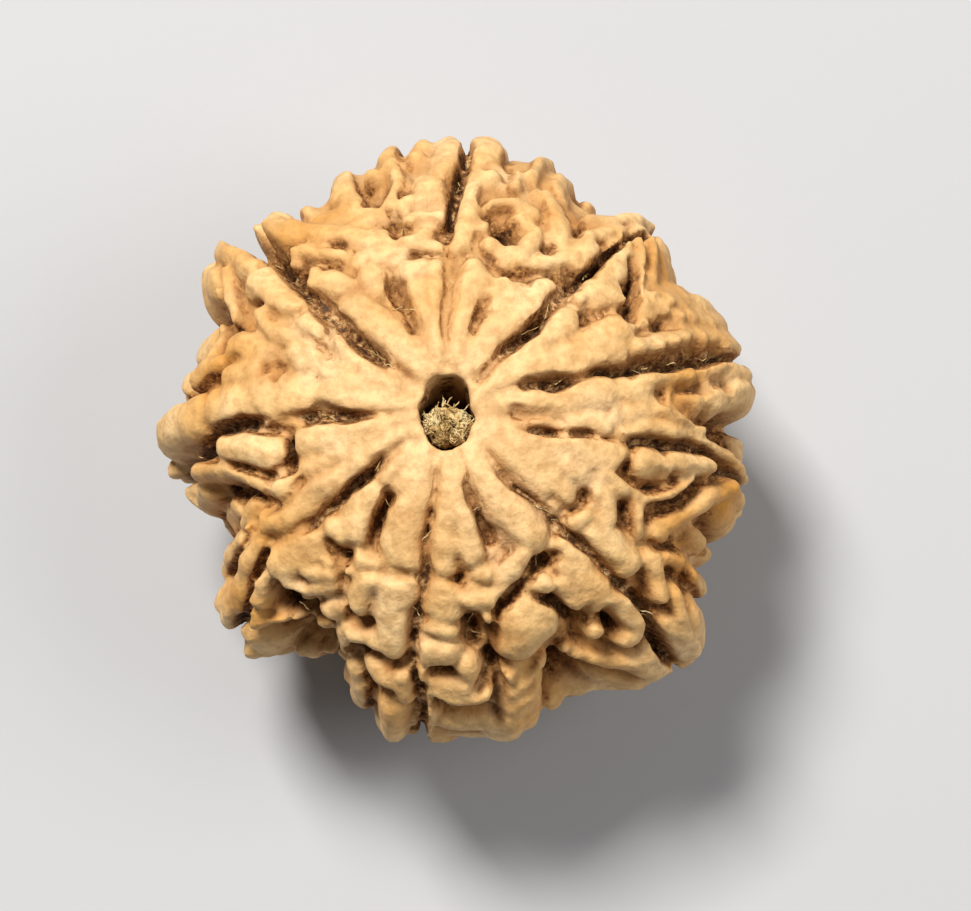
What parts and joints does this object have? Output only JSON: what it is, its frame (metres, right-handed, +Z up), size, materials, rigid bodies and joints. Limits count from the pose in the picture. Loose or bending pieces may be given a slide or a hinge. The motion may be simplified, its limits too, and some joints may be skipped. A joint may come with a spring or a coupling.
{
  "type": "rudraksha seed",
  "caption": "Deeply wrinkled woody rudraksha seed, a flattened ball split by clefts from pole to pole, with a thread hole through it and dried pith in the hole's mouth.",
  "frame": {"origin": "centre of the seed's outline seen from above, on the surface it rests on", "axes": "+Z up along the thread hole, towards the mouth with the pith; +Y towards the top of the picture, +X to its right"},
  "size_m": [0.025, 0.0258, 0.0183],
  "materials": {
    "seed_shell": "satin, worn smooth on the crests and brown in the creases",
    "dried_pith": "matte matted fibre"
  },
  "bodies": {
    "root": {"seed_stone": "seed_shell", "pith_plug": "dried_pith"}
  },
  "joints": []
}
